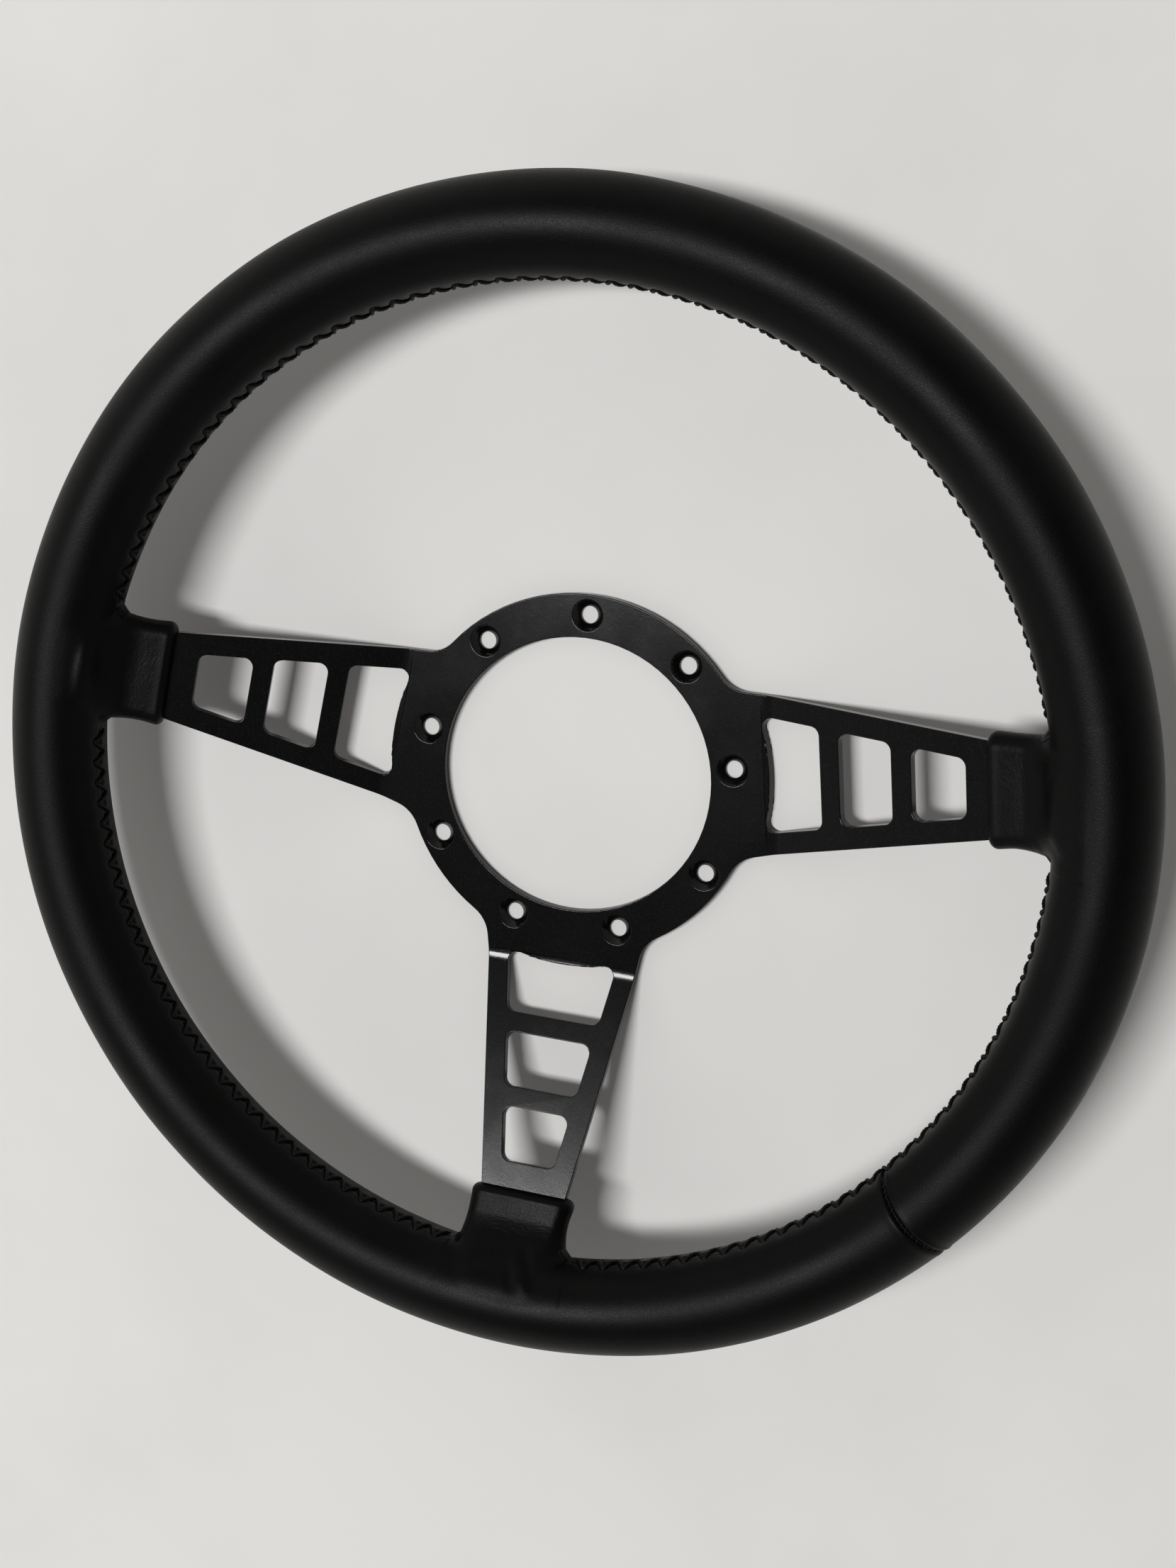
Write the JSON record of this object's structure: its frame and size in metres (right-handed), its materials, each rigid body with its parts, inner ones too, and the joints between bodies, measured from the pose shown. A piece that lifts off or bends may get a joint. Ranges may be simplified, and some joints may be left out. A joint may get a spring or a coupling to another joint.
{
  "type": "car steering wheel",
  "caption": "Dished car steering wheel with a slotted black plate of hub ring and spokes, bent forward, and a round laced leather rim.",
  "frame": {"origin": "centre of the hub's hole on the hub's back face, which is the mounting face", "axes": "+Z out of the hub towards the driver, +Y towards twelve o'clock, +X to the driver's right"},
  "size_m": [0.356, 0.356, 0.0494],
  "materials": {
    "coated_plate": "satin black coating with a fine metallic sparkle",
    "core_steel": "plain drawn tube, hidden",
    "foam": "moulded foam, hidden",
    "leather": "smooth black leather with a fine grain",
    "thread": "waxed black sewing thread"
  },
  "bodies": {
    "root": {"spoke_plate": "coated_plate", "rim_core": "core_steel", "foam_core": "foam", "leather_cover": "leather", "lace_top": "thread", "lace_left": "thread", "lace_right": "thread", "cross_seam_thread": "thread", "ear_thread_left": "thread", "ear_thread_right": "thread", "ear_thread_bottom": "thread"}
  },
  "joints": []
}
